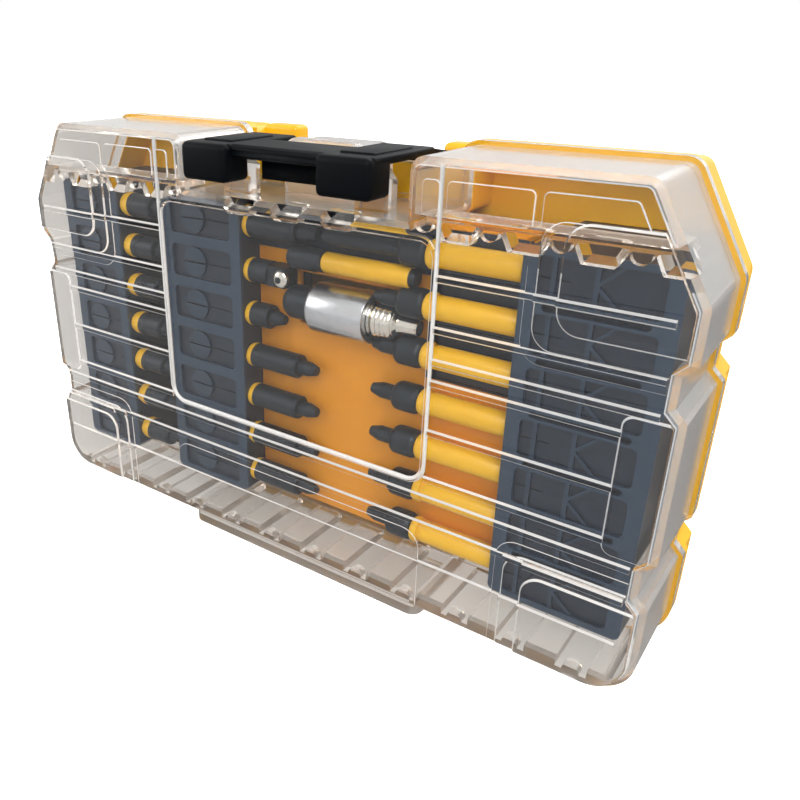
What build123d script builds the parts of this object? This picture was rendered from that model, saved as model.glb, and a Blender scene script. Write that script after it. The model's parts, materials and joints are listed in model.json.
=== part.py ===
"""Screwdriver bit set: a hinged hard case with a clear lid, standing on its hinge side.

Millimetres. X runs along the case, Z is up, and the lid faces -Y.
The origin is the centre of the footprint, on the surface that the case stands on.
Depths below are measured from the lid's front face, heights from the case's bottom wall.
The case is as long and as tall as the rows of bits that it holds, with the gaps named here.
"""
import os

from build123d import *

os.makedirs("parts", exist_ok=True)

# Modelling helpers: how far a cut runs past the material, and how far joined pieces run together
past = 1.0
overlap = 0.5

# Rows of bits
row_pitch = 14.4
row_count = 7
bit_depth = 14.0
hex_across = 6.35
socket_fit = 0.25

# Bits
insert_length = 25.4
insert_reach = 18.0
power_length = 50.8
power_reach = 26.5
short_reach = 14.0
adapter_reach = 16.3
adapter_square = 6.3
adapter_length = 7.0
insert_body = 14.0
power_body = 20.0
short_body = 9.0
body_radius = 3.9
body_round = 0.8
tip_length = 3.2
tip_radius = 1.5
tip_gap = 2.4
neck_radius = 2.4
ring_radius = 4.6
ring_length = 5.2
ring_fit = 0.05
sleeve_radius = 3.9
sleeve_length = 27.0
sleeve_start = 0.6
nose_radius = 4.4
nose_length = 9.0
nose_round = 2.0
driver_shank = 12.0
driver_tip_reach = 8.0
long_tip_reach = 26.5
groove_depth = 0.5
groove_width = 0.8
groove_place = 3.0

# Bit holder
holder_place = 16.6
holder_body = 14.0
holder_radius = 4.4
holder_round = 1.0
holder_socket = 8.0
holder_sleeve = 29.0
holder_end = 1.5

# Drive guide
guide_place = 14.6
guide_shaft = 42.0
guide_neck = 5.5
guide_sleeve_place = 12.0
guide_sleeve_length = 22.0
guide_sleeve_radius = 5.5
guide_sleeve_bore = 3.85
guide_sleeve_round = 0.8
guide_ring_gap = 0.3
guide_ring_length = 6.0
guide_ring_radius = 4.6
guide_ring_grooves = 4
guide_groove_pitch = 1.3
guide_groove_width = 0.5
guide_groove_depth = 0.4
tool_lift = 5.7

# Bit bars
bar_cover = 5.0
bar_wall = 1.8
bar_round = 2.0
outer_bar_width = 27.0
inner_bar_width = 33.9
right_bar_width = 38.2
bar_side_gap = 6.4
bar_between = 22.1
bar_floor_gap = 12.4
bar_top_gap = 2.8
pane_margin = 4.0
pane_depth = 1.2
pane_round = 1.5
boss_radius = 5.0
boss_rise = 0.8
boss_place = 0.4
boss_groove = 0.6
brace_width = 1.2
brace_rise = 0.8
brace_places = (8.0, 18.5)
brace_spread = 6.0
slot_margin = 6.0
slot_height = 2.0
slot_depth = 2.0

# Tray behind the middle bay
tray_left_gap = 1.6
tray_right_gap = 7.0
tray_margin = 9.0
tray_depth = 36.0
tray_thick = 2.0
tray_round = 4.0
tray_leg_inset = 5.0
tray_leg = 4.0
cradle_thick = 3.0
cradle_rim = 0.3
cradle_edge = 1.0
holder_cradles = (5.5, 34.0)
guide_cradles = (1.8, 44.5)

# Case outline, seen from the front
notch_depth = 16.5
bottom_round = 12.0
chamfer_run = 14.5
chamfer_rise = 25.5
side_step = 3.0
low_pad_top = 29.0
mid_pad_bottom = 42.5
mid_pad_drop = 52.0
high_pad_drop = 38.5
corner_round = 4.0

# Recess and ribs on the base's back
back_half = 84.0
back_low = 20.0
back_top_gap = 12.0
back_sink = 0.8
back_round = 8.0
back_rib_rise = 0.8
back_rib_width = 3.0
back_rib_pitch = 24.0
back_rib_count = 7

# Walls and the parting line
case_depth = 49.0
lid_wall = 2.2
base_wall = 2.4
parting = 34.0
parting_gap = 0.2
flange_out = 1.2
lid_flange = 2.8
base_rim = 2.4
front_bevel = 2.0
back_bevel = 3.0

# Raised pads and frames on the lid's face
pad_rise = 0.7
pad_round = 6.0
relief_margin = 0.2
outer_pad_width = 37.5
inner_pad_width = 31.8
outer_pad_low = 33.0
inner_pad_low = 28.6
outer_pad_drop = 25.2
inner_pad_drop = 20.0
side_pad_width = 13.4
window_half = 50.0
window_low = 43.5
window_line = 1.8
rib_width = 2.2
rib_slope = 0.5
rib_rise = 0.6
rib_end_gap = 0.5
thin_pad_width = 40.0
thin_pad_low = 36.5
thin_pad_drop = 29.0
thin_pad_rise = 0.25
pad_slope = 0.5
foot_pad_half = 49.5
foot_pad_top = 28.0
shoulder_rise = 0.5
shoulder_margin = 2.8
shoulder_lines = (50.2, 74.2)
shoulder_gap = 1.8
shoulder_round = 1.5
rib_middle = 60.6
rib_offsets = (0.0, 14.6, 20.6, 29.4, 42.9)

# Strips, teeth and tabs inside the lid
tooth_pitch = 17.7
tooth_count = 6
tooth_top = 12.0
tooth_low = 7.5
tooth_depth = 6.0
tooth_drop = 4.0
notch_tooth_drop = 2.6
tooth_facet = 1.8
shelf_rise = 0.5
shelf_thick = 2.0
shelf_reach = 12.0
tab_width = 4.8
tab_drop = 2.4
tab_length = 3.0
tab_play = 0.1
strip_width = 9.0
strip_rise = 3.0
strip_reach = 27.0

# Hinge along the bottom of the parting line
hinge_behind = 0.9
hinge_drop = 3.2
barrel_radius = 3.0
barrel_half = 36.0
knuckle_length = 12.0
hinge_side_gap = 0.3
hinge_top_gap = 0.1
pin_radius = 1.6
pin_fit = 0.08
pin_length = 9.5
pin_end_gap = 0.5
housing_front = 4.0
housing_wall = 2.2
housing_round = 4.0
knuckle_block = 9.0
barrel_gap = 0.5

# Latch, pivoted on the lid
latch_half = 32.5
latch_side_gap = 7.0
latch_proud = 6.0
latch_drop = 0.9
leg_width = 17.0
leg_depth = 11.0
leg_clearance = 5.0
leg_round = 2.0
leg_front_wall = 2.2
cheek = 2.6
plate_thick = 2.3
plate_back_gap = 3.0
apron_front = 3.0
apron_lip = 1.5
finger_half = 12.0
finger_depth = 5.0
finger_thick = 2.4
finger_clearance = 6.0
hook_width = 15.5
hook_behind = 3.6
hook_thick = 1.6
catch_rise = 10.0
catch_gap = 0.4
grip_margin = 4.0
grip_front = 11.0
grip_back_gap = 5.0
grip_rise = 0.5
lug_gap = 2.0
lug_thick = 2.4
lug_drop = 1.5
lug_round = 4.0

# Bearings of the latch
pivot_depth = 0.0
pivot_rise = 9.2
pivot_radius = 1.8
pivot_fit = 0.08
pivot_ring = 3.5
knuckle_play = 0.5
clip_slot = 2.8
arm_rise = 2.4
arm_knee = 9.0
arm_back = 13.0
arm_shoulder = 1.0
arm_front = 8.6
arm_heel = 3.0
arm_bend = 6.5
arm_drop = 1.6

# Worked out from the sizes above
hex_corner = hex_across / 3 ** 0.5
middle_bay = power_reach + tip_gap + long_tip_reach + nose_length + sleeve_length + sleeve_start
contents = outer_bar_width + bar_between + inner_bar_width + middle_bay + right_bar_width
half_width = contents / 2 + bar_side_gap
outer_bar_left = bar_side_gap - half_width
outer_bar_right = outer_bar_left + outer_bar_width
inner_bar_left = outer_bar_right + bar_between
inner_bar_right = inner_bar_left + inner_bar_width
right_bar_left = inner_bar_right + middle_bay
right_bar_right = right_bar_left + right_bar_width
bar_front = bit_depth - bar_cover
bar_low = bar_floor_gap
bar_high = bar_low + row_pitch * row_count
row_heights = [bar_high - row_pitch * (i + 0.5) for i in range(row_count)]
recess_floor = bar_high + bar_top_gap
case_height = recess_floor + notch_depth
high_pad_bottom = case_height - high_pad_drop
mid_pad_top = case_height - mid_pad_drop
outer_pad_edge = half_width - outer_pad_width
inner_pad_edge = half_width - inner_pad_width
side_pad_edge = half_width - side_pad_width
outer_pad_high = recess_floor - outer_pad_drop
inner_pad_high = recess_floor - inner_pad_drop
recess_half = latch_half + latch_side_gap
hinge_depth = parting + hinge_behind
knuckle_half = barrel_half + knuckle_length
leg_inner = latch_half - leg_width
latch_top = case_height - latch_drop
plate_back = parting - plate_back_gap
pivot_height = recess_floor + pivot_rise
hook_inner = latch_half - hook_width
hook_back = parting + hook_behind
hook_bottom = recess_floor + catch_rise
catch_top = hook_bottom - catch_gap
tool_depth = bit_depth - tool_lift
holder_left = inner_bar_right + holder_place
holder_height = row_heights[1] + row_pitch / 2
guide_left = inner_bar_right + guide_place
guide_height = row_heights[2] + row_pitch / 2
front = -(case_depth + latch_proud) / 2 + latch_proud
ground = hinge_drop + barrel_radius


def prism(face, near, far):
    """A front-view face pushed from one depth to another."""
    return extrude(Plane.XZ.offset(-far) * face, far - near)


def block(x0, x1, y0, y1, z0, z1):
    middle = Pos((x0 + x1) / 2, (y0 + y1) / 2, (z0 + z1) / 2)
    return middle * Box(x1 - x0, y1 - y0, z1 - z0)


def rod(radius, x0, x1, depth, height):
    return Pos((x0 + x1) / 2, depth, height) * Rot(0, 90, 0) * Cylinder(radius, x1 - x0)


def hex_rod(across, x0, x1, depth, height):
    section = Plane.YZ.offset(x0) * RegularPolygon(across / 2, 6, major_radius=False)
    return Pos(0, depth, height) * extrude(section, x1 - x0)


def cone(radius0, radius1, x0, x1, depth, height):
    place = Pos((x0 + x1) / 2, depth, height) * Rot(0, 90, 0)
    return place * Cone(radius0, radius1, x1 - x0)


def channel(radius, depth_of_cut, x0, width, depth, height):
    """What a turned groove takes from a round piece."""
    ring = rod(radius + past, x0, x0 + width, depth, height)
    return ring - rod(radius - depth_of_cut, x0 - past, x0 + width + past, depth, height)


def outline(notch_floor):
    """The case seen from the front, with its stepped sides and the notch for the latch."""
    side = [
        (half_width, 0),
        (half_width, low_pad_top),
        (half_width - side_step, low_pad_top + side_step),
        (half_width - side_step, mid_pad_bottom - side_step),
        (half_width, mid_pad_bottom),
        (half_width, mid_pad_top),
        (half_width - side_step, mid_pad_top + side_step),
        (half_width - side_step, high_pad_bottom - side_step),
        (half_width, high_pad_bottom),
        (half_width, case_height - chamfer_rise),
        (half_width - chamfer_run, case_height),
        (recess_half, case_height),
        (recess_half, notch_floor),
    ]
    other = [(-x, z) for x, z in reversed(side)]
    face = make_face(Polyline(*side, *other, close=True))
    low = [v for v in face.vertices() if v.Y < past]
    face = fillet(low, bottom_round)
    shoulders = [v for v in face.vertices() if abs(v.X) < recess_half + past and v.Y > notch_floor + past]
    face = fillet(shoulders, corner_round)
    far_out = (recess_half + half_width) / 2
    knees = [v for v in face.vertices() if abs(v.X) > far_out and v.Y > case_height - chamfer_rise - past]
    return fillet(knees, corner_round)


def bounded(left, right, low, high, radius):
    """A rounded rectangle between two sides and two levels."""
    middle = Pos((left + right) / 2, (low + high) / 2)
    return middle * RectangleRounded(right - left, high - low, radius)


def mirrored(shape):
    return shape + mirror(shape, about=Plane.YZ)


def to_frame(shape):
    return Pos(0, front, ground) * shape


def raised(face, rise, slope):
    """A pad that stands on the lid's face, with sloped sides."""
    pad = prism(face, -rise, past)
    return chamfer(pad.faces().sort_by(Axis.Y)[0].edges(), slope)


def lid_face_relief():
    """Stepped pads at the corners and sides, and the pad at the middle of the foot."""
    reach = half_width + pad_round
    sky = recess_floor + pad_round
    steps = [
        (thin_pad_width, thin_pad_low, thin_pad_drop, thin_pad_rise, thin_pad_rise / 2),
        (outer_pad_width, outer_pad_low, outer_pad_drop, pad_rise, pad_slope),
        (inner_pad_width, inner_pad_low, inner_pad_drop, 2 * pad_rise, pad_slope),
    ]
    pads = Part()
    for width, low, drop, rise, slope in steps:
        edge = half_width - width
        pads += raised(bounded(edge, reach, recess_floor - drop, sky, pad_round), rise, slope)
        pads += raised(bounded(edge, reach, -pad_round, low, pad_round), rise, slope)
    side = bounded(side_pad_edge, reach, mid_pad_bottom, mid_pad_top, pad_round / 2)
    pads += raised(side, pad_rise, pad_slope)
    foot = bounded(-foot_pad_half, foot_pad_half, -pad_round, foot_pad_top, pad_round)
    pads = mirrored(pads) + raised(foot, thin_pad_rise, thin_pad_rise / 2)
    field = offset(outline(recess_floor), -front_bevel - relief_margin)
    return pads & prism(field, -latch_proud, past)


def window_frame():
    top = recess_floor - front_bevel
    outer = bounded(-window_half, window_half, window_low, top, pad_round)
    frame = prism(outer - offset(outer, -window_line), -pad_rise, past)
    return chamfer(frame.faces().sort_by(Axis.Y)[0].edges(), pad_slope)


def shoulder_frames():
    """Three raised panels on the front of each shoulder beside the latch."""
    field = offset(outline(recess_floor), -front_bevel - shoulder_margin)
    low, high = recess_floor + shoulder_margin, case_height
    inner, outer = shoulder_lines
    sides = [recess_half, inner, outer, half_width]
    panels = Part()
    for left, right in zip(sides, sides[1:]):
        cell = Pos((left + right) / 2, (low + high) / 2) * Rectangle(right - left - shoulder_gap, high - low)
        panel = fillet((field & cell).vertices(), shoulder_round)
        panels += raised(panel, shoulder_rise, shoulder_rise / 2)
    return mirrored(panels)


def rib(left, right, height, under):
    """A rib with sloped sides, standing on a surface that lies this far in front of the face."""
    half = rib_width / 2
    top = half - rib_slope
    section = Polyline((past, -half), (-under, -half), (-under - rib_rise, -top), (-under - rib_rise, top),
                       (-under, half), (past, half), close=True)
    return Pos(0, 0, height) * extrude(Plane.YZ.offset(left) * make_face(section), right - left)


def lid_ribs():
    ribs = Part()
    side = half_width - side_step - front_bevel - rib_end_gap
    for height in {rib_middle + sign * step for step in rib_offsets for sign in (1, -1)}:
        inner = window_half - overlap if height > window_low else -overlap
        if mid_pad_bottom < height < mid_pad_top:
            ribs += rib(inner, side_pad_edge + overlap, height, 0)
        elif outer_pad_low < height < outer_pad_high:
            ribs += rib(inner, side, height, 0)
        else:
            ribs += rib(inner, outer_pad_edge + overlap, height, 0)
            ribs += rib(outer_pad_edge, inner_pad_edge + overlap, height, pad_rise)
            ribs += rib(inner_pad_edge, side, height, 2 * pad_rise)
    return mirrored(ribs)


def tooth(place, top, drop):
    """A facetted tooth that hangs behind the lid's face."""
    face = make_face(Polyline((-tooth_top / 2, 0), (tooth_top / 2, 0), (tooth_low / 2, -drop),
                              (-tooth_low / 2, -drop), close=True))
    body = prism(Pos(place, top) * face, lid_wall - overlap, lid_wall + tooth_depth)
    back = body.faces().sort_by(Axis.Y)[-1].edges()
    return chamfer(back.sort_by(Axis.Z)[:-1], tooth_facet)


def round_tab(place, edge, sign):
    """A short tab with a round end that stands on a wall, behind the lid's face."""
    near, far = sorted((edge - sign * overlap * 2, edge + sign * tab_drop))
    tab = block(place - tab_width / 2, place + tab_width / 2, lid_wall - overlap, lid_wall + tab_length, near, far)
    ends = tab.edges().filter_by(Axis.Y).group_by(Axis.Z)
    return fillet(ends[-1] if sign > 0 else ends[0], tab_width / 2 - tab_play)


def lid_inside():
    """Shelves in the shoulders, teeth under them and under the notch, and strips along the foot."""
    shelf_low = recess_floor + shelf_rise
    notch_low = recess_floor - lid_wall
    shelf = block(recess_half - lid_wall, half_width, lid_wall - overlap, shelf_reach, shelf_low,
                  shelf_low + shelf_thick)
    body = mirrored(shelf)
    for i in range(-tooth_count, tooth_count + 1):
        place = i * tooth_pitch
        if abs(place) < recess_half - tooth_top / 2:
            body += tooth(place, notch_low + overlap, notch_tooth_drop + overlap)
        elif abs(place) > recess_half + tooth_top / 2:
            body += tooth(place, shelf_low + overlap, tooth_drop + overlap)
        strip_top = lid_wall + strip_rise
        half = strip_width / 2
        strip = block(place - half, place + half, lid_wall - overlap, strip_reach, lid_wall - overlap, strip_top)
        body += chamfer(strip.edges().filter_by(Axis.X).group_by(Axis.Z)[-1], strip_rise / 2)
    for i in range(tooth_count):
        place = (i + 0.5) * tooth_pitch
        body += mirrored(round_tab(place, lid_wall, 1))
        if place > recess_half:
            body += mirrored(round_tab(place, shelf_low, -1))
    return body & prism(offset(outline(recess_floor), -overlap), 0, parting)


def lid_hinge():
    """Clear housing under the lid with a bored knuckle at each end."""
    floor = -hinge_drop - barrel_radius
    shell = block(-knuckle_half, knuckle_half, housing_front, hinge_depth, floor, past)
    ends = shell.edges().filter_by(Axis.Z).group_by(Axis.Y)[0]
    shell = fillet(ends, housing_round)
    inner = knuckle_half - housing_wall
    hollow = block(-inner, inner, housing_front + housing_wall, hinge_depth, floor + housing_wall, 0)
    knuckle_in = barrel_half + hinge_side_gap
    blocks = mirrored(block(knuckle_in, knuckle_half, hinge_depth - knuckle_block, hinge_depth, floor, past))
    shell = shell - hollow + blocks
    shell += mirrored(rod(barrel_radius, knuckle_in, knuckle_half, hinge_depth, -hinge_drop))
    reach = knuckle_half + past
    shell -= block(-reach, reach, parting - parting_gap, hinge_depth + past, -hinge_top_gap, 2 * past)
    bore = pin_radius + pin_fit
    bore_end = barrel_half + pin_length + pin_end_gap
    shell -= mirrored(rod(bore, knuckle_in - past, bore_end, hinge_depth, -hinge_drop))
    return shell


def barrel_room():
    """Space that the base's hinge barrel needs between the lid's knuckles."""
    knuckle_in = barrel_half + hinge_side_gap
    near = hinge_depth - barrel_radius - barrel_gap
    return block(-knuckle_in, knuckle_in, near, hinge_depth + past, -hinge_drop - 2 * barrel_radius, 0)


def latch_knuckles():
    """Clip-in bearings for the latch: rings on arms that reach forward from the recess floor."""
    x0 = leg_inner + cheek + knuckle_play
    x1 = latch_half - cheek - knuckle_play
    sole = recess_floor - pivot_height - past
    arm = [
        (0, arm_rise), (arm_knee, arm_rise), (arm_back, -arm_shoulder), (arm_back, sole),
        (arm_front, sole), (arm_front, -arm_heel), (arm_bend, -arm_drop), (0, -arm_drop),
    ]
    profile = Plane.YZ.offset(x0) * make_face(Polyline(*arm, close=True))
    knuckle = Pos(0, pivot_depth, pivot_height) * extrude(profile, x1 - x0)
    knuckle += rod(pivot_ring, x0, x1, pivot_depth, pivot_height)
    knuckle -= rod(pivot_radius + pivot_fit, x0 - past, x1 + past, pivot_depth, pivot_height)
    low, high = pivot_height - clip_slot / 2, pivot_height + clip_slot / 2
    mouth = pivot_depth - pivot_ring - past
    knuckle -= block(x0 - past, x1 + past, mouth, pivot_depth, low, high)
    return mirrored(knuckle)


def lid_shell():
    far = parting - parting_gap
    shape = outline(recess_floor)
    body = prism(shape, 0, far)
    rim = body.faces().sort_by(Axis.Y)[0].edges()
    body = chamfer(rim, front_bevel)
    body += prism(offset(shape, flange_out), far - lid_flange, far)
    body = body + lid_hinge() - barrel_room()
    cavity = offset(shape, -lid_wall)
    body += lid_face_relief() + window_frame() + shoulder_frames() + lid_ribs()
    body -= prism(cavity, lid_wall, far + past)
    body += lid_inside() + latch_knuckles()
    lug_half = hook_inner - lug_gap
    lug = block(-lug_half, lug_half, far - lug_thick, far, recess_floor - past, case_height - lug_drop)
    ends = lug.edges().filter_by(Axis.Y).group_by(Axis.Z)[-1]
    return body + fillet(ends, lug_round)


def back_relief():
    """What the recess in the base's back takes away; upright ribs are left standing in it."""
    high = recess_floor - back_top_gap
    near = case_depth - back_sink
    hollow = prism(bounded(-back_half, back_half, back_low, high, back_round), near, case_depth + past)
    for i in range(back_rib_count):
        place = (i - (back_rib_count - 1) / 2) * back_rib_pitch
        half = back_rib_width / 2
        hollow -= block(place - half, place + half, near - past, near + back_rib_rise, back_low, high)
    return hollow


def base_shell():
    shape = outline(catch_top)
    body = prism(shape, parting, case_depth)
    back = body.faces().sort_by(Axis.Y)[-1].edges()
    body = chamfer(back, back_bevel)
    body += prism(offset(shape, flange_out), parting, parting + base_rim)
    over_catch = block(-recess_half, recess_half, parting, case_depth, catch_top, case_height + flange_out + past)
    body -= over_catch
    cavity = offset(outline(recess_floor), -base_wall)
    body -= prism(cavity, parting - past, case_depth - base_wall)
    body -= back_relief()
    gap = knuckle_half + hinge_side_gap
    body -= block(-gap, gap, parting - past, case_depth + past, -flange_out - past, 0)
    web = block(-barrel_half, barrel_half, hinge_depth, hinge_depth + barrel_radius, -hinge_drop, overlap)
    body += web
    body += rod(barrel_radius, -barrel_half, barrel_half, hinge_depth, -hinge_drop)
    reach = barrel_half + pin_length
    return body + rod(pin_radius, -reach, reach, hinge_depth, -hinge_drop)


def latch():
    near = -latch_proud
    leg_bottom = recess_floor + leg_clearance
    legs = block(leg_inner, latch_half, near, near + leg_depth, leg_bottom, latch_top)
    legs = fillet(legs.edges().filter_by(Axis.X).group_by(Axis.Z)[0], leg_round)
    hollow_top = latch_top - plate_thick
    x0, x1 = leg_inner + cheek, latch_half - cheek
    hollow_far = near + leg_depth + past
    legs -= block(x0, x1, near + leg_front_wall, hollow_far, leg_bottom - past, hollow_top)
    plate = block(-latch_half, latch_half, near + leg_depth - past, plate_back, hollow_top, latch_top)
    hooks = block(hook_inner, latch_half, plate_back - past, hook_back, hollow_top, latch_top)
    hooks += block(hook_inner, latch_half, hook_back - hook_thick, hook_back, hook_bottom, latch_top)
    apron = [
        (near + apron_front, latch_top), (finger_depth, latch_top), (finger_depth, hollow_top),
        (near + apron_front + apron_lip, latch_top - apron_front),
    ]
    run = leg_inner + past
    apron = extrude(Plane.YZ.offset(-run) * make_face(Polyline(*apron, close=True)), 2 * run)
    tab_low = recess_floor + finger_clearance
    tab_back = finger_depth + finger_thick
    tab = block(-finger_half, finger_half, finger_depth, tab_back, tab_low, latch_top - overlap)
    grip_left, grip_right = grip_margin, latch_half - grip_margin
    grip_low, grip_high = latch_top - overlap, latch_top + grip_rise
    grips = block(grip_left, grip_right, grip_front, plate_back - grip_back_gap, grip_low, grip_high)
    body = mirrored(legs) + plate + mirrored(hooks) + apron + tab + mirrored(grips)
    return body + mirrored(rod(pivot_radius, leg_inner + past, latch_half - past, pivot_depth, pivot_height))


def cell_boss(left, right, height):
    """Round socket head in a cell of the left bars, with a groove across it."""
    floor = bar_front + pane_depth
    middle = left + boss_place * (right - left)
    boss = prism(Pos(middle, height) * Circle(boss_radius), floor - boss_rise, floor + overlap)
    half = boss_groove / 2
    reach = boss_radius + past
    groove = block(middle - reach, middle + reach, floor - boss_rise - past, floor, height - half, height + half)
    return boss - groove


def cell_braces(left, height, half):
    """Upright and slanting braces in a cell of the right bar."""
    floor = bar_front + pane_depth
    first, second = (left + place for place in brace_places)
    near, far = floor - brace_rise, floor + overlap
    span, reach = brace_width / 2, half + overlap
    braces = Part()
    for place in (first, second):
        braces += block(place - span, place + span, near, far, height - reach, height + reach)
    for sign in (1, -1):
        slant = [(0, sign * span), (brace_spread, sign * reach), (brace_spread + brace_width, sign * reach),
                 (0, -sign * span)]
        slant = make_face(Polyline(*slant, close=True))
        braces += prism(Pos(second, height) * slant, near, far)
    return braces


def bit_bar(left, right, braced):
    """An upright bar with a recessed cell for each row, and a slot between the cells of the right bar."""
    body = block(left, right, bar_front, case_depth - base_wall, bar_low, bar_high)
    body = fillet(body.edges().filter_by(Axis.Y), bar_round)
    half = row_pitch / 2 - bar_wall
    for height in row_heights:
        pane = bounded(left + pane_margin, right - pane_margin, height - half, height + half, pane_round)
        body -= prism(pane, bar_front - past, bar_front + pane_depth)
        body += cell_braces(left, height, half) if braced else cell_boss(left, right, height)
    if braced:
        for height in row_heights[:-1]:
            slot = SlotOverall(right - left - 2 * slot_margin, slot_height)
            slot = Pos((left + right) / 2, height - row_pitch / 2) * slot
            body -= prism(slot, bar_front - past, bar_front + slot_depth)
    return body


def sockets(edge, sign, depth):
    """Six-sided sockets that start at a bar's edge and run in against the sign."""
    x0, x1 = sorted((edge + sign * past, edge - sign * depth))
    cuts = Part()
    for height in row_heights:
        cuts += hex_rod(hex_across + 2 * socket_fit, x0, x1, bit_depth, height)
    return cuts


def pointed_bit(seat, shoulder, knee, tip, height):
    """A bit that points right: six-sided shank, round body from its shoulder to the knee, then the tip."""
    body = rod(body_radius, shoulder, knee, bit_depth, height)
    body = fillet(body.edges().sort_by(Axis.X)[-1], body_round)
    body += hex_rod(hex_across, seat, shoulder + overlap, bit_depth, height)
    edge = tip - tip_length
    body += rod(neck_radius, knee - overlap, edge, bit_depth, height)
    return body + cone(neck_radius, tip_radius, edge, tip, bit_depth, height)


def socket_adapter(seat, shoulder, tip, height):
    """A bit that ends in a square drive for sockets."""
    edge = tip - adapter_length
    body = hex_rod(hex_across, seat, shoulder + overlap, bit_depth, height)
    body += rod(body_radius, shoulder, edge, bit_depth, height)
    half = adapter_square / 2
    return body + block(edge, tip, bit_depth - half, bit_depth + half, height - half, height + half)


def ring(x0, x1, outer, bore, height):
    return rod(outer, x0, x1, bit_depth, height) - rod(bore, x0 - past, x1 + past, bit_depth, height)


def driver_ring(edge, height):
    """The coloured ring that slides over a bit's shoulder, against the bar."""
    bore = hex_corner + ring_fit
    return ring(edge + sleeve_start, edge + ring_length, ring_radius, bore, height)


def sleeve_span():
    """Where the long drivers' coloured tubes start and end."""
    end = right_bar_left - sleeve_start
    return end - sleeve_length, end


def sleeved_bit(tip, height):
    """A long driver whose shank sits in the right bar and whose tip points left."""
    start, end = sleeve_span()
    core = hex_rod(hex_across, end, right_bar_left + driver_shank, bit_depth, height)
    core += rod(neck_radius, start - overlap, right_bar_left, bit_depth, height)
    nose = rod(nose_radius, start - nose_length, start, bit_depth, height)
    core += fillet(nose.edges(), nose_round)
    knee = tip + tip_length
    core += rod(neck_radius, knee, start, bit_depth, height)
    return core + cone(tip_radius, neck_radius, tip, knee, bit_depth, height)


def torsion_sleeve(height):
    """The coloured tube on a long driver, with its groove near the tip."""
    start, end = sleeve_span()
    tube = ring(start, end, sleeve_radius, neck_radius, height)
    return tube - channel(sleeve_radius, groove_depth, start + groove_place, groove_width, bit_depth, height)


def holder():
    """Bit holder: a dark grip at the left with a long coloured sleeve behind it."""
    knee = holder_left + holder_body
    end = knee + holder_sleeve
    body = rod(holder_radius, holder_left, knee, tool_depth, holder_height)
    body = fillet(body.edges(), holder_round)
    mouth = holder_left + holder_socket
    body -= hex_rod(hex_across + socket_fit, holder_left - past, mouth, tool_depth, holder_height)
    body += rod(neck_radius, knee - overlap, end + holder_end, tool_depth, holder_height)
    tube = rod(sleeve_radius, knee, end, tool_depth, holder_height)
    tube -= rod(neck_radius, knee - past, end + past, tool_depth, holder_height)
    return body, tube


def drive_guide():
    """Drive guide: six-sided shaft with a round neck, bright ring and the sleeve that slides on it."""
    sleeve_left = guide_left + guide_sleeve_place
    sleeve_right = sleeve_left + guide_sleeve_length
    ring_left = sleeve_right + guide_ring_gap
    ring_right = ring_left + guide_ring_length
    end = guide_left + guide_shaft
    shaft = hex_rod(hex_across, guide_left, end, tool_depth, guide_height)
    shaft += rod(neck_radius, end - overlap, end + guide_neck, tool_depth, guide_height)
    collar = rod(guide_ring_radius, ring_left, ring_right, tool_depth, guide_height)
    edge = (guide_ring_length - guide_groove_pitch * (guide_ring_grooves - 1) - guide_groove_width) / 2
    for i in range(guide_ring_grooves):
        place = ring_left + edge + i * guide_groove_pitch
        groove = (place, guide_groove_width, tool_depth, guide_height)
        collar -= channel(guide_ring_radius, guide_groove_depth, *groove)
    collar -= hex_rod(hex_across, ring_left - past, ring_right + past, tool_depth, guide_height)
    sleeve = rod(guide_sleeve_radius, sleeve_left, sleeve_right, tool_depth, guide_height)
    sleeve = fillet(sleeve.edges(), guide_sleeve_round)
    left, right = sleeve_left - past, sleeve_right + past
    sleeve -= rod(guide_sleeve_bore, left, right, tool_depth, guide_height)
    return shaft, collar, sleeve


def centre_tray():
    """Thin tray behind the loose tools in the middle bay, with cradles that hold them."""
    left = inner_bar_right + tray_left_gap
    right = guide_left + guide_shaft + tray_right_gap
    low, high = guide_height - tray_margin, holder_height + tray_margin
    body = block(left, right, tray_depth, tray_depth + tray_thick, low, high)
    body = fillet(body.edges().filter_by(Axis.Y), tray_round)
    half = tray_leg / 2
    for x in (left + tray_leg_inset, right - tray_leg_inset):
        for z in (low + tray_leg_inset, high - tray_leg_inset):
            floor = case_depth - base_wall
            body += block(x - half, x + half, tray_depth + overlap, floor, z - half, z + half)
    cradles = [
        (holder_left + holder_cradles[0], holder_height, holder_radius),
        (holder_left + holder_cradles[1], holder_height, sleeve_radius),
        (guide_left + guide_cradles[0], guide_height, hex_corner),
        (guide_left + guide_cradles[1], guide_height, neck_radius),
    ]
    for place, height, radius in cradles:
        x0, x1 = place - cradle_thick / 2, place + cradle_thick / 2
        half = radius + cradle_rim
        edge = tool_depth - cradle_edge
        arm = block(x0, x1, edge, tray_depth + overlap, height - half, height + half)
        body += arm - rod(radius, x0 - past, x1 + past, tool_depth, height)
    return body


def save(shape, name):
    export_step(to_frame(shape), f"parts/{name}.step")


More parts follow.
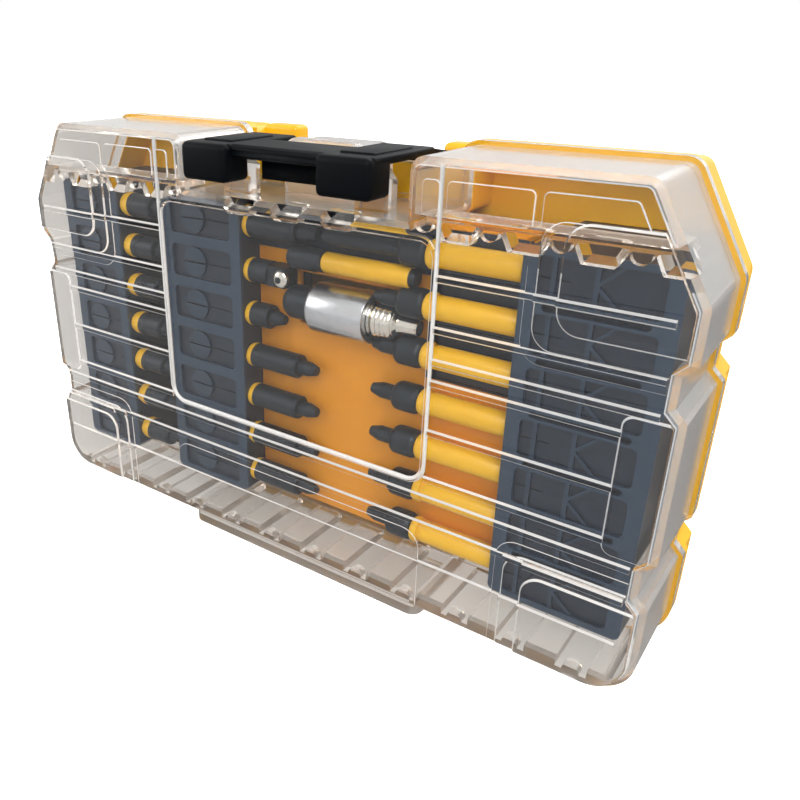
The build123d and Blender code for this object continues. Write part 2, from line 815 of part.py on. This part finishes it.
def main():
    save(lid_shell(), "lid_shell")
    save(base_shell(), "base_shell")
    save(latch(), "latch")
    outer = bit_bar(outer_bar_left, outer_bar_right, False)
    outer_depth = insert_length - insert_reach
    save(outer - sockets(outer_bar_right, 1, outer_depth), "left_outer_bit_bar")
    inner = bit_bar(inner_bar_left, inner_bar_right, False)
    inner_depth = power_length - power_reach
    save(inner - sockets(inner_bar_right, 1, inner_depth), "left_inner_bit_bar")
    right = bit_bar(right_bar_left, right_bar_right, True)
    save(right - sockets(right_bar_left, -1, driver_shank), "right_bit_bar")
    outer_rings, inner_rings = Part(), Part()
    driver_tip = sleeve_span()[0] - nose_length - driver_tip_reach
    long_tip = inner_bar_right + power_reach + tip_gap
    for row, height in enumerate(row_heights, 1):
        edge = outer_bar_right
        places = (edge - outer_depth, edge + ring_length, edge + insert_body, edge + insert_reach)
        save(pointed_bit(*places, height), f"insert_bit_{row}")
        outer_rings += driver_ring(edge, height)
        edge = inner_bar_right
        seat, shoulder = edge - inner_depth, edge + ring_length
        if row == 2:
            bit = socket_adapter(seat, shoulder, edge + adapter_reach, height)
        elif row == 3:
            bit = pointed_bit(seat, shoulder, edge + short_body, edge + short_reach, height)
        else:
            bit = pointed_bit(seat, shoulder, edge + power_body, edge + power_reach, height)
        save(bit, f"power_bit_{row}")
        inner_rings += driver_ring(edge, height)
        save(sleeved_bit(long_tip if row == 1 else driver_tip, height), f"driver_{row}")
        save(torsion_sleeve(height), f"driver_sleeve_{row}")
    save(outer_rings, "insert_bit_rings")
    save(inner_rings, "power_bit_rings")
    save(centre_tray(), "centre_tray")
    grip, tube = holder()
    save(grip, "bit_holder")
    save(tube, "bit_holder_sleeve")
    shaft, collar, sleeve = drive_guide()
    save(shaft, "guide_shaft")
    save(collar, "guide_ring")
    save(sleeve, "guide_sleeve")


main()
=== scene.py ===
"""Screwdriver bit set in a hinged case with a clear lid: finishes, small parts, light and camera.

Metres. X runs along the case, Z is up, and the lid faces -Y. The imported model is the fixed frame.
"""
import json
import math

import bmesh
import bpy
from mathutils import Matrix, Vector


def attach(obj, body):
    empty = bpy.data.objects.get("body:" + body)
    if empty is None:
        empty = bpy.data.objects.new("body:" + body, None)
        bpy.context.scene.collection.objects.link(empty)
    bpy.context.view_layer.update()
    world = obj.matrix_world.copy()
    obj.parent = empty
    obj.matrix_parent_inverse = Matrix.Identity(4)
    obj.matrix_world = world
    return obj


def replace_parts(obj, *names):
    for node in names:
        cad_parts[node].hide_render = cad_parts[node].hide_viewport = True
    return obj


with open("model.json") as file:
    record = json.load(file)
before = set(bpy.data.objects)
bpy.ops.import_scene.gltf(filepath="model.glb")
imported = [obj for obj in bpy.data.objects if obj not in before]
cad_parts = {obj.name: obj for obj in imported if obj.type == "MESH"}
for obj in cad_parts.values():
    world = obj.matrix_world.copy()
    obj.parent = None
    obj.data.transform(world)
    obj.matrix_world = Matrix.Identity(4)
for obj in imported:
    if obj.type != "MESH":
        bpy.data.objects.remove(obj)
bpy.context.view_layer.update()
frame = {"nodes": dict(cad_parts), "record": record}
NODES = frame["nodes"]
MM = 0.001

# Millimetres: where depths and heights start, which are the lid's front face and the bottom wall
LID_FACE_Y = -21.5
BOTTOM_Z = 6.2
# Millimetres: the depth of every tool's axis behind the lid's face, and the heights of the seven rows
TOOLS_DEEP = 14.0
ROWS = [106.0 - 14.4 * step for step in range(7)]


def linear(colour):
    """An sRGB hex colour as the linear values that shaders take."""
    parts = [int(colour[i:i + 2], 16) / 255 for i in (1, 3, 5)]
    return [c / 12.92 if c <= 0.04045 else ((c + 0.055) / 1.055) ** 2.4 for c in parts] + [1.0]


def add(tree, kind, inputs=None, **settings):
    """Adds a node with its settings; inputs are values or the sockets that feed them."""
    node = tree.nodes.new(kind)
    for key, value in settings.items():
        setattr(node, key, value)
    for key, value in (inputs or {}).items():
        if isinstance(value, bpy.types.NodeSocket):
            tree.links.new(value, node.inputs[key])
        else:
            node.inputs[key].default_value = value
    return node


def new_material(name):
    """An empty material and its tree, with the output node in place."""
    material = bpy.data.materials.new(name)
    material.use_nodes = True
    tree = material.node_tree
    tree.nodes.clear()
    return material, tree, add(tree, "ShaderNodeOutputMaterial")


def maths(tree, kind, *values, clamp=False):
    """The result of one sum on values or sockets."""
    return add(tree, "ShaderNodeMath", dict(enumerate(values)), operation=kind,
               use_clamp=clamp).outputs["Value"]


def spread(tree, value, low, high, start=0.0, end=1.0):
    """A value's place between two limits, laid out from start to end."""
    return add(tree, "ShaderNodeMapRange", {"Value": value, "From Min": low, "From Max": high,
                                            "To Min": start, "To Max": end}).outputs["Result"]


def along(tree, kind, axis):
    """One axis of the object's own coordinates or of its normal."""
    lie = add(tree, "ShaderNodeTexCoord").outputs[kind]
    return add(tree, "ShaderNodeSeparateXYZ", {"Vector": lie}).outputs[axis]


def mixed(tree, share, first, second):
    """A colour between two, by a share."""
    return add(tree, "ShaderNodeMix", {"Factor": share, "A": first, "B": second},
               data_type="RGBA").outputs["Result"]


def grain(tree, grain_mm, detail, stretch=(1, 1, 1)):
    """Noise in patches of a size given in mm, drawn out by stretch."""
    place = add(tree, "ShaderNodeTexCoord").outputs["Object"]
    if stretch != (1, 1, 1):
        place = add(tree, "ShaderNodeMapping", {"Vector": place, "Scale": stretch}).outputs["Vector"]
    return add(tree, "ShaderNodeTexNoise", {"Vector": place, "Scale": 1 / (grain_mm * MM),
                                            "Detail": detail}).outputs["Fac"]


def mottled(tree, low, high, grain_mm):
    """A colour that wanders between two hex colours in patches of a size given in mm."""
    return mixed(tree, grain(tree, grain_mm, 3.0), linear(low), linear(high))


def bumped(tree, grain_mm, height_mm, strength):
    """A normal from moulding texture of a grain and height in mm."""
    return add(tree, "ShaderNodeBump", {"Height": grain(tree, grain_mm, 2.0), "Strength": strength,
                                        "Distance": height_mm * MM}).outputs["Normal"]


def clear_lid_plastic(name, satin):
    """Polycarbonate, clear and glossy where the tool was polished, satin and pale on its sloped edges.

    The sloped sides of the raised ribs and pads scatter light and so show as cream lines, the rim's chamfer
    and the upright walls do so less, and the teeth stay clear. Satin is the least share for the whole piece.
    """
    material, tree, out = new_material(name)
    path = add(tree, "ShaderNodeLightPath")
    # The share of the lamps' light that reaches the inside through the walls
    light_let_in = 0.55
    held_back = maths(tree, "MULTIPLY_ADD", path.outputs["Is Shadow Ray"], -light_let_in, 1.0)
    # The Y of a normal is -1 where a face looks to the front and 0 where it is upright
    facing = along(tree, "Normal", "Y")
    wall, slope, nearly_flat, flat = -0.28, -0.4, -0.9, -0.97
    slopes = maths(tree, "MULTIPLY", spread(tree, facing, wall, slope),
                   spread(tree, facing, flat, nearly_flat))
    teeth_height, teeth_half = 121.2 * MM, 4.6 * MM
    teeth = maths(tree, "COMPARE", along(tree, "Object", "Z"), teeth_height, teeth_half)
    slopes = maths(tree, "SUBTRACT", slopes, teeth, clamp=True)
    # The rim's chamfer lies behind the lid's face and scatters less
    face_y, chamfer_y, chamfer_share = -21.3 * MM, -21.1 * MM, 0.3
    raised = spread(tree, along(tree, "Object", "Y"), face_y, chamfer_y, 1.0, chamfer_share)
    slopes = maths(tree, "MULTIPLY", slopes, raised)
    wall_share = 0.35
    walls = maths(tree, "LESS_THAN", maths(tree, "ABSOLUTE", facing), -wall)
    walls = maths(tree, "MULTIPLY", walls, wall_share)
    amount = maths(tree, "MAXIMUM", maths(tree, "MAXIMUM", slopes, walls), satin)
    shader = add(tree, "ShaderNodeBsdfPrincipled", {
        "Base Color": linear("#FDFCFA"), "IOR": 1.5, "Alpha": held_back,
        "Roughness": spread(tree, amount, 0.0, 1.0, 0.015, 0.35),
        "Transmission Weight": spread(tree, amount, 0.0, 1.0, 1.0, 0.55),
        "Normal": bumped(tree, 22.0, 0.05, 0.25)})
    tree.links.new(shader.outputs["BSDF"], out.inputs["Surface"])
    # Thick edges turn a faint amber
    haze = add(tree, "ShaderNodeVolumeAbsorption", {"Color": linear("#FAE4CA"), "Density": 20.0})
    tree.links.new(haze.outputs["Volume"], out.inputs["Volume"])
    return material


def moulded(name, low, high, rough, grain_mm, height_mm, strength, subsurface=0.0, specular=0.5,
            raised=None):
    """A solid moulded plastic with a fine spark-eroded grain; raised is the colour of a painted sheen on its
    raised front faces.
    """
    material, tree, out = new_material(name)
    colour = mottled(tree, low, high, 14.0)
    if raised:
        # A painted sheen makes the faces at the front paler
        front_y, fade_mm = -12.4, 1.2
        colour = painted_front_sheen(tree, colour, raised, front_y, fade_mm)
    shader = add(tree, "ShaderNodeBsdfPrincipled", {
        "Base Color": colour, "Roughness": rough, "IOR": 1.49, "Specular IOR Level": specular,
        "Subsurface Weight": subsurface, "Subsurface Radius": (0.004, 0.0016, 0.0004),
        "Normal": bumped(tree, grain_mm, height_mm, strength)})
    tree.links.new(shader.outputs["BSDF"], out.inputs["Surface"])
    return material


def painted_front_sheen(tree, colour, raised, front_y, fade_mm):
    """Lightens a colour towards the raised front faces: a painted sheen for the light that those faces catch.
    """
    share = spread(tree, along(tree, "Object", "Y"), front_y * MM, (front_y + fade_mm) * MM, 1.0, 0.0)
    return mixed(tree, share, colour, linear(raised))


def metal(name, low, high, rough_low, rough_high, grain_mm, stretch=(1, 1, 1), metallic=1.0):
    """A metal whose roughness wanders with its grain; stretch lays the grain along one way."""
    material, tree, out = new_material(name)
    wander = grain(tree, grain_mm, 3.0, stretch)
    shader = add(tree, "ShaderNodeBsdfPrincipled", {
        "Base Color": mottled(tree, low, high, 2.0), "Metallic": metallic,
        "Roughness": spread(tree, wander, 0.0, 1.0, rough_low, rough_high),
        "Normal": bumped(tree, 0.3, 0.01, 0.2)})
    tree.links.new(shader.outputs["BSDF"], out.inputs["Surface"])
    return material


FINISH = {
    # Polycarbonate: clear, with glossy faces and cream lines on its slopes
    "clear_plastic": clear_lid_plastic("polycarbonate_clear_moulded", 0.0),
    # Polypropylene with a fine grain: soft gloss, light glows a little in it
    "yellow_plastic": moulded("polypropylene_yellow_moulded", "#FFBC0C", "#FFC81E", 0.34, 0.5, 0.02, 0.3,
                              subsurface=0.15),
    # Glass-filled nylon: near black, satin
    "black_plastic": moulded("nylon_black_moulded", "#03060A", "#060A0E", 0.5, 0.35, 0.02, 0.35,
                             specular=0.1),
    # ABS: dark blue grey, satin, with a painted sheen that makes the raised front faces of the bars paler
    "grey_plastic": moulded("abs_dark_grey_moulded", "#121E2F", "#182739", 0.42, 0.4, 0.02, 0.3,
                            raised="#2C4056"),
    # Tool steel with a phosphate coat: dark and dull, with a soft sheen
    "dark_steel": metal("tool_steel_phosphated", "#252C34", "#323A43", 0.38, 0.52, 0.6, metallic=0.6),
    # Polyurethane tube on the drivers: yellow, soft gloss
    "yellow_sleeve": moulded("polyurethane_yellow_moulded", "#F2B911", "#FCC926", 0.3, 0.3, 0.01, 0.15),
    # Aluminium, turned and satin anodised: grain runs round the sleeve
    "satin_silver": metal("aluminium_turned_anodised", "#C6CBD2", "#D8DDE3", 0.2, 0.32, 0.25, (8, 1, 1)),
    # Steel, nickel plated and polished
    "bright_steel": metal("steel_nickel_plated", "#D8D6D0", "#E6E4DE", 0.04, 0.1, 1.0),
}

# The lid's plastic where it's frosted all over, for the bead round the window
SATIN_LID = clear_lid_plastic("polycarbonate_satin_moulded", 1.0)
# The same, less frosted, for the lug between the latch's arms
HAZED_LID = clear_lid_plastic("polycarbonate_hazed_moulded", 0.6)
# The tray of the middle bay: the yellow polypropylene, painted a deeper orange yellow for the shade in the
# bay, satin
SHADED_TRAY_PLASTIC = moulded("polypropylene_yellow_painted_shade", "#EE9906", "#F6A510", 0.4, 0.5, 0.02, 0.3,
               subsurface=0.1)

for row in frame["record"]["subparts"]:
    piece = NODES[row["node"]]
    piece.data.materials.clear()
    piece.data.materials.append(FINISH[row["material_slot"]])


def spot(x, depth, height):
    """A point from its place along the case, its depth behind the lid's face and its height, in mm."""
    return Vector((x, depth + LID_FACE_Y, height + BOTTOM_Z)) * MM


def box_mesh(x0, x1, y0, y1, z0, z1):
    """A box between two sides, depths and heights, as bmesh geometry."""
    shape = bmesh.new()
    bmesh.ops.create_cube(shape, size=1.0)
    low, high = spot(x0, y0, z0), spot(x1, y1, z1)
    for vertex in shape.verts:
        vertex.co = Vector(low[i] + (vertex.co[i] + 0.5) * (high[i] - low[i]) for i in range(3))
    return shape


def rounded_box(radius, *sides):
    """A box with its edges rounded to a radius in mm."""
    shape = box_mesh(*sides)
    bmesh.ops.bevel(shape, geom=shape.edges, offset=radius * MM, segments=4, profile=0.5, affect="EDGES")
    return shape


def pushed(near, far):
    """A solid between two outlines whose points match one to one."""
    shape = bmesh.new()
    near = [shape.verts.new(point) for point in near]
    far = [shape.verts.new(point) for point in far]
    shape.faces.new(near)
    shape.faces.new(reversed(far))
    for i, start in enumerate(near):
        j = (i + 1) % len(near)
        shape.faces.new((start, far[i], far[j], near[j]))
    bmesh.ops.recalc_face_normals(shape, faces=shape.faces)
    return shape


def side_profile(points, x0, x1):
    """A solid with an outline of depths and heights, pushed from one side to the other."""
    return pushed(*([spot(x, depth, height) for depth, height in points] for x in (x0, x1)))


def front_profile(points, y0, y1):
    """A solid with an outline of places and heights, pushed from one depth to another."""
    return pushed(*([spot(x, depth, height) for x, height in points] for depth in (y0, y1)))


def as_object(name, shape):
    """Puts bmesh geometry in the scene as an object."""
    mesh = bpy.data.meshes.new(name)
    shape.to_mesh(mesh)
    shape.free()
    piece = bpy.data.objects.new(name, mesh)
    bpy.context.scene.collection.objects.link(piece)
    return piece


def settled(piece):
    """Turns a piece's modifiers into its mesh."""
    seen = piece.evaluated_get(bpy.context.evaluated_depsgraph_get())
    mesh = bpy.data.meshes.new_from_object(seen)
    piece.modifiers.clear()
    piece.data = mesh


def joined(name, solids, cuts=()):
    """One solid from several, with others cut away."""
    piece = as_object(name, solids[0])
    for step, shapes in (("UNION", solids[1:]), ("DIFFERENCE", cuts)):
        for shape in shapes:
            other = as_object("helper", shape)
            change = piece.modifiers.new(step, "BOOLEAN")
            change.operation = step
            change.solver = "EXACT"
            change.object = other
            settled(piece)
            bpy.data.objects.remove(other)
    return piece


def softened(piece, width_mm, segments=2, angle=40):
    """Rounds the sharp edges of a piece, as a moulding tool leaves them."""
    bevel = piece.modifiers.new("moulded edge", "BEVEL")
    bevel.width = width_mm * MM
    bevel.segments = segments
    bevel.limit_method = "ANGLE"
    bevel.angle_limit = math.radians(angle)


def finished(piece, body, slot, material=None):
    """Gives a piece its body, its finish and smooth shading."""
    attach(piece, body)
    piece.data.materials.clear()
    piece.data.materials.append(material or FINISH[slot])
    piece.data.shade_smooth()
    return piece


def turned(name, loops, axes, body, slot):
    """Turned parts along X.

    Each loop is a closed outline of places and radii, and each axis is a depth and a height. A loop whose
    first radius is nearly nothing is solid to its axis.
    """
    nearly_nothing, weld, sharp_from = 0.01, 0.005, 35
    shape = bmesh.new()
    count = 32
    angles = [2 * math.pi * step / count for step in range(count)]
    for depth, height in axes:
        for loop in loops:
            rows = [[shape.verts.new(spot(x, depth + radius * math.cos(a), height + radius * math.sin(a)))
                     for a in angles] for x, radius in loop]
            pairs = list(zip(rows, rows[1:] + rows[:1]))
            if loop[0][1] < nearly_nothing:
                pairs = pairs[:-1]
            for first, second in pairs:
                for i in range(count):
                    j = (i + 1) % count
                    shape.faces.new((first[i], first[j], second[j], second[i]))
    bmesh.ops.remove_doubles(shape, verts=shape.verts, dist=weld * MM)
    bmesh.ops.recalc_face_normals(shape, faces=shape.faces)
    piece = finished(as_object(name, shape), body, slot)
    piece.data.set_sharp_from_angle(angle=math.radians(sharp_from))
    return piece


def loose_tools():
    """The drive guide and the bit holder, at the girth that the photograph shows and the rows' depth."""
    guide, holder, point = [(TOOLS_DEEP, 84.4)], [(TOOLS_DEEP, 98.4)], 0.001
    sleeve = [(3, 5.6), (3, 7.0), (3.6, 7.6), (4.4, 7.8), (22.6, 7.8), (23.4, 7.5), (23.6, 7.0), (23.6, 5.6)]
    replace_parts(turned("drive_sleeve", [sleeve], guide, "guide_sleeve", "satin_silver"), "guide_sleeve")
    socket = [(-8, point), (-8, 3.0), (-7.4, 4.2), (-6.2, 5.0), (-5, 5.3), (2.8, 5.3), (2.8, point)]
    turned("drive_socket", [socket], guide, "base_body", "dark_steel")
    shaft = [(2.8, point), (2.8, 5.3), (24.4, 5.3), (24.8, 4.2), (31.6, 4.2), (32.4, 3.0), (33.2, 2.7),
             (38.0, 2.6), (38.5, 2.2), (38.5, point)]
    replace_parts(turned("drive_shaft", [shaft], guide, "base_body", "bright_steel"), "guide_shaft")
    collar = [(25, 4.2), (25, 4.9), (25.4, 5.2), (26, 4.9), (26.4, 4.9), (26.8, 5.2), (27.4, 4.9), (28, 4.9),
              (28.4, 5.2), (29, 4.9), (29.6, 4.9), (30, 5.0), (30.8, 4.7), (31.2, 4.2)]
    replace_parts(turned("drive_collar", [collar], guide, "base_body", "bright_steel"), "guide_ring")
    holder_body = [(-6.9, point), (-6.9, 2.8), (-6.3, 3.4), (-5.6, 3.6), (2.6, 3.6), (3.4, 3.3), (5.6, 3.3),
                   (6, 2.6), (36.4, 2.6), (37, 2.2), (37, point)]
    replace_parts(turned("holder_body", [holder_body], holder, "base_body", "dark_steel"), "bit_holder")
    tube = [(6, 2.6), (6, 2.9), (6.3, 3.1), (34.8, 3.1), (35.2, 2.9), (35.2, 2.6)]
    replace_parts(turned("holder_tube", [tube], holder, "base_body", "yellow_sleeve"), "bit_holder_sleeve")


def bit_collars():
    """The short yellow crescents against the bars, and the dark shoulders of the bits beside them."""
    rows = [(TOOLS_DEEP, height) for height in ROWS]
    bore, chamfer, ramp = 3.2, 0.4, 0.35
    for row, face, wide, radius, reach in (("insert", -79.5, 3.7, 4.15, -73.8),
                                           ("power", -23.5, 1.9, 3.95, -18.0)):
        edge = face + wide
        ring = [(face, bore), (face, 3.72), (face + ramp * wide, radius), (edge, radius), (edge, bore)]
        crescents = turned(f"{row}_crescents", [ring], rows, "base_body", "yellow_sleeve")
        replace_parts(crescents, f"{row}_bit_rings")
        dark = [(edge, bore), (edge, radius), (reach, radius), (reach + chamfer, radius - chamfer),
                (reach + chamfer, bore)]
        turned(f"{row}_shoulders", [dark], rows, "base_body", "dark_steel")


def driver_tubes():
    """The yellow tubes of the long drivers, each with a flange and a groove at the nose end."""
    tube = [(40.6, 2.6), (40.6, 3.5), (41.2, 4.0), (42.2, 4.1), (43.0, 3.9), (43.4, 3.1), (43.9, 3.0),
            (44.3, 3.5), (67.2, 3.5), (67.7, 3.2), (67.7, 2.6)]
    for step, height in enumerate(ROWS):
        axis = (TOOLS_DEEP, height)
        piece = turned(f"driver_tube_{step + 1}", [tube], [axis], "base_body", "yellow_sleeve")
        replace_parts(piece, f"driver_sleeve_{step + 1}")


def bay_floor():
    """The raised yellow floor close behind the tools of the middle bay, open where the guide lies."""
    left, right, front, back, low, high = -23.4, 66, 18.3, 36, 12.6, 113
    plate = box_mesh(left, right, front, 19.9, low, high)
    top = box_mesh(left, right, front, back, 111.4, high)
    bottom = box_mesh(left, right, front, back, low, 14.2)
    guide_gap = box_mesh(-7, 26, 17, 21, 76, 92.8)
    piece = joined("bay_floor", [plate, top, bottom], [guide_gap])
    softened(piece, 0.4)
    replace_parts(piece, "centre_tray")
    # The tray's deeper orange is painted shade
    finished(piece, "base_body", "yellow_plastic", SHADED_TRAY_PLASTIC)
    # A dark sheet of painted shade just in front of the floor, along its top and its right side
    front, back, high = 17.0, 18.2, 112.8
    shade_top = box_mesh(-23.5, 67, front, back, 99, high)
    shade_side = box_mesh(39.5, 68.3, front, back, 69, high)
    dark = joined("bay_painted_shade", [shade_top, shade_side])
    softened(dark, 0.3)
    finished(dark, "base_body", "grey_plastic")


def rocker_latch():
    """The latch: two hollow arms with rear hooks, a front crossbar with its finger tab, and grips."""
    solids, cuts = [], []
    arm_top, arm_low, roof = 131.6, 121.0, 129.3
    pivot, rod, rod_long = 125.2, 1.8, 12.4
    for sign in (1, -1):
        inner, outer, cheek = 15.5 * sign, 32.5 * sign, 2.6 * sign
        sides = sorted((inner, outer))
        solids.append(rounded_box(1.7, *sides, -6, 5, arm_low, arm_top))
        solids.append(rounded_box(0.7, *sides, -3.6, 27, roof, arm_top))
        hook = [(25, arm_top - 0.3), (27, arm_top - 0.5), (36.4, 129.6), (37.6, 128.6), (37.6, 126),
                (36, 126), (36, 127.4), (27, roof), (25, roof)]
        solids.append(side_profile(hook, *sorted((17.0 * sign, outer - 0.4 * sign))))
        solids.append(rounded_box(0.4, *sorted((18.8 * sign, 29.6 * sign)), 1, 20, roof + 1, arm_top + 0.5))
        cuts.append(box_mesh(*sorted((inner + cheek, outer - cheek)), -3.8, 6, arm_low - 2, roof))
    bar = [(-1.6, arm_top), (-2.6, 131.1), (-3, 130.2), (-3, 128.6), (-2.4, 127.9), (6.5, 127.9), (9.5, roof),
           (13, roof), (13, arm_top)]
    solids.append(side_profile(bar, -17, 17))
    tab = [(5, 129), (5, 121.7), (7.4, 121.7), (7.4, 129)]
    solids.append(side_profile(tab, -11, 11))
    piece = joined("rocker_latch", solids, cuts)
    # The cross rods that it turns on
    rods = bmesh.new()
    rods.from_mesh(piece.data)
    for sign in (1, -1):
        turn = Matrix.Translation(spot(24 * sign, 0, pivot)) @ Matrix.Rotation(math.radians(90), 4, "Y")
        bmesh.ops.create_cone(rods, cap_ends=True, segments=24, radius1=rod * MM, radius2=rod * MM,
                              depth=rod_long * MM, matrix=turn)
    rods.to_mesh(piece.data)
    rods.free()
    softened(piece, 0.25)
    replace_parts(piece, "latch")
    finished(piece, "latch", "black_plastic")


def hanging_lug():
    """The clear lug of the lid that stands between the latch's arms."""
    half, low, centre_x, centre_z, round_off = 13.6, 115.8, 9.6, 127.9, 4
    arc = [math.radians(step) for step in range(0, 91, 15)]
    corner = [(centre_x + round_off * math.cos(a), centre_z + round_off * math.sin(a)) for a in arc]
    shape = [(half, low), *corner, *((-x, z) for x, z in reversed(corner)), (-half, low)]
    piece = as_object("hanging_lug", front_profile(shape, 18.3, 22.3))
    softened(piece, 0.5)
    finished(piece, "lid", "clear_plastic", HAZED_LID)


def latch_stops():
    """The two shoulders of the base that close the notch behind the latch's hooks."""
    for sign, side, top in ((1, "right", 131.1), (-1, "left", 132.6)):
        box = rounded_box(1.6, *sorted((27 * sign, 41 * sign)), 41.5, 48.9, 118, top)
        finished(as_object(f"latch_stop_{side}", box), "base_body", "yellow_plastic")


def window_beads():
    """The raised bead round the lid's window, which runs on up both shoulders."""
    outer, half, low, top, round_off = 50.0, 0.55, 44.4, 131.2, 6.0
    foot, proud, chamfer = 0.2, -0.8, 0.3
    path = [(-outer + half, top), (-outer + half, low + round_off)]
    arc = [math.radians(step) for step in range(0, 91, 10)]
    path += [(-outer + half + round_off - round_off * math.cos(a), low + round_off - round_off * math.sin(a))
             for a in arc[1:]]
    path += [(-x, z) for x, z in reversed(path)]
    shape = bmesh.new()
    rows = []
    for i, (x, z) in enumerate(path):
        before = Vector(path[max(i - 1, 0)])
        after = Vector(path[min(i + 1, len(path) - 1)])
        way = (after - before).normalized()
        side = Vector((-way.y, way.x))
        ring = []
        for across, depth in ((-half, foot), (-half + chamfer, proud), (half - chamfer, proud), (half, foot)):
            corner = Vector((x, z)) + side * across
            ring.append(shape.verts.new(spot(corner.x, depth, corner.y)))
        rows.append(ring)
    for first, second in zip(rows, rows[1:]):
        for i in range(4):
            j = (i + 1) % 4
            shape.faces.new((first[i], first[j], second[j], second[i]))
    shape.faces.new(rows[0])
    shape.faces.new(reversed(rows[-1]))
    bmesh.ops.recalc_face_normals(shape, faces=shape.faces)
    finished(as_object("window_bead", shape), "lid", "clear_plastic", SATIN_LID)


def adapter_ball():
    """A guess at the round chrome end that shows in front of the socket adapter: a ball in a dark seat."""
    x, height = -9.0, 91.2
    for name, radius, flat, depth, slot in (("adapter_ball", 2.9, 0.55, 11.2, "bright_steel"),
                                            ("adapter_ball_seat", 1.0, 0.5, 9.5, "dark_steel")):
        shape = bmesh.new()
        bmesh.ops.create_uvsphere(shape, u_segments=24, v_segments=16, radius=radius * MM)
        for vertex in shape.verts:
            vertex.co = spot(x, depth, height) + Vector((vertex.co.x, vertex.co.y * flat, vertex.co.z))
        finished(as_object(name, shape), "base_body", slot)


rocker_latch()
hanging_lug()
latch_stops()
window_beads()
adapter_ball()
loose_tools()
bit_collars()
driver_tubes()
bay_floor()


def studio():
    """Pale floor and surroundings that show white, and soft lamps above and beside the case."""
    material, tree, out = new_material("paper_white_matt")
    # The floor shows white to the eye, less so through the lid, and grey in reflections
    path = add(tree, "ShaderNodeLightPath")
    through_lid = 0.62
    seen = maths(tree, "MULTIPLY_ADD", path.outputs["Is Transmission Ray"], through_lid,
                 path.outputs["Is Camera Ray"])
    glow = add(tree, "ShaderNodeEmission", {"Color": linear("#FFFFFF"), "Strength": seen})
    tone = mixed(tree, path.outputs["Is Glossy Ray"], linear("#F2F2F0"), linear("#6A6A6C"))
    matt = add(tree, "ShaderNodeBsdfDiffuse", {"Color": tone})
    both = add(tree, "ShaderNodeAddShader", {0: glow.outputs["Emission"], 1: matt.outputs["BSDF"]})
    tree.links.new(both.outputs["Shader"], out.inputs["Surface"])
    mesh = bpy.data.meshes.new("floor")
    half = 3.0
    corners = [(-half, -half, 0), (half, -half, 0), (half, half, 0), (-half, half, 0)]
    mesh.from_pydata(corners, [], [(0, 1, 2, 3)])
    mesh.materials.append(material)
    floor = bpy.data.objects.new("floor", mesh)
    just_below = -0.0002
    floor.location.z = just_below
    bpy.context.scene.collection.objects.link(floor)
    world = bpy.data.worlds.new("surroundings")
    bpy.context.scene.world = world
    world.use_nodes = True
    tree = world.node_tree
    tree.nodes.clear()
    # The surroundings light the case less than they show white
    path = add(tree, "ShaderNodeLightPath")
    light, in_gloss = 0.55, 0.6
    seen = maths(tree, "MAXIMUM", path.outputs["Is Camera Ray"], path.outputs["Is Transmission Ray"])
    seen = maths(tree, "MULTIPLY_ADD", path.outputs["Is Glossy Ray"], in_gloss, seen, clamp=True)
    strength = spread(tree, seen, 0.0, 1.0, light, 1.0)
    sky = add(tree, "ShaderNodeBackground", {"Color": linear("#FFFFFF"), "Strength": strength})
    out = add(tree, "ShaderNodeOutputWorld")
    tree.links.new(sky.outputs["Background"], out.inputs["Surface"])
    # Each lamp's name, its place and size in metres, and its watts
    aim = Vector((0, 0, 0.06))
    for name, place, size, power in (
            ("key", (0.55, -0.75, 0.95), 0.7, 11.0),
            ("fill", (-0.9, -0.6, 0.5), 0.6, 3.0),
            ("back", (0.1, 0.8, 0.8), 0.8, 5.0)):
        lamp = bpy.data.lights.new(name, "AREA")
        lamp.shape = "SQUARE"
        lamp.size = size
        lamp.energy = power
        holder = bpy.data.objects.new(name, lamp)
        holder.location = place
        holder.rotation_euler = (aim - Vector(place)).to_track_quat("-Z", "Y").to_euler()
        bpy.context.scene.collection.objects.link(holder)


def photographer():
    """The camera where the photograph was taken from, as fitted to the case's corners in it."""
    place = spot(140.953, -172.819, 157.199)
    yaw, pitch, roll = (math.radians(a) for a in (-36.39857, -24.24819, 0.18315))
    ahead = Vector((math.sin(yaw) * math.cos(pitch), math.cos(yaw) * math.cos(pitch), math.sin(pitch)))
    level = Vector((math.cos(yaw), -math.sin(yaw), 0))
    up = level.cross(ahead)
    right = math.cos(roll) * level + math.sin(roll) * up
    up = math.cos(roll) * up - math.sin(roll) * level
    turn = Matrix((right, up, -ahead)).transposed()
    lens = bpy.data.cameras.new("camera")
    lens.sensor_width = 36.0
    lens.lens = 35.646
    lens.shift_x = 0.1
    lens.clip_start = 0.01
    camera = bpy.data.objects.new("camera", lens)
    camera.matrix_world = Matrix.Translation(place) @ turn.to_4x4()
    bpy.context.scene.collection.objects.link(camera)
    bpy.context.scene.camera = camera


LID_EDGE_MM = 0.3
softened(NODES["lid_shell"], LID_EDGE_MM)
studio()
photographer()
# A ray that looks in passes the walls of the lid many times
cycles = bpy.context.scene.cycles
cycles.max_bounces = 32
cycles.transmission_bounces = 32
cycles.glossy_bounces = 16
cycles.transparent_max_bounces = 32
bpy.context.scene.view_settings.view_transform = "Standard"
